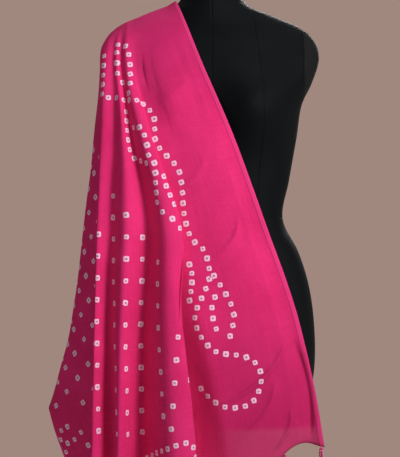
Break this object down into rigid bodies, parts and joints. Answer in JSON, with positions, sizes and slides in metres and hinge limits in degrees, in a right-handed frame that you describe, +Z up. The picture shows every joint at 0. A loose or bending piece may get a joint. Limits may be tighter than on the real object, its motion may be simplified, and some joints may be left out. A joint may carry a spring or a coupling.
{
  "type": "dupatta stole on a dress form with a stand",
  "caption": "Long rectangular stole hung in folds over one shoulder of a limbless dress form on a round-based stand, with tassels along both ends.",
  "frame": {"origin": "centre of the stand base's flat underside", "axes": "+Z up along the pole, the form faces -Y, +X is the form's uncovered shoulder"},
  "size_m": [0.4976, 0.4213, 1.5103],
  "materials": {
    "cloth": "soft matt woven cloth",
    "tassel": "matt twisted thread",
    "form": "matt stretched jersey",
    "metal": "satin black"
  },
  "bodies": {
    "root": {"dupatta_front": "cloth", "dupatta_back": "cloth", "dupatta_side": "cloth", "form_body": "form", "form_arm_cap_left": "form", "form_arm_cap_right": "form", "form_neck_cap": "metal", "stand_base": "metal", "stand_pole": "metal", "tassel_front_01": "tassel", "tassel_front_02": "tassel", "tassel_front_03": "tassel", "tassel_front_04": "tassel", "tassel_front_05": "tassel", "tassel_front_06": "tassel", "tassel_front_07": "tassel", "tassel_front_08": "tassel", "tassel_front_09": "tassel", "tassel_front_10": "tassel", "tassel_front_11": "tassel", "tassel_back_01": "tassel", "tassel_back_02": "tassel", "tassel_back_03": "tassel", "tassel_back_04": "tassel", "tassel_back_05": "tassel", "tassel_back_06": "tassel", "tassel_back_07": "tassel", "tassel_back_08": "tassel", "tassel_back_09": "tassel", "tassel_back_10": "tassel", "tassel_back_11": "tassel"}
  },
  "joints": []
}
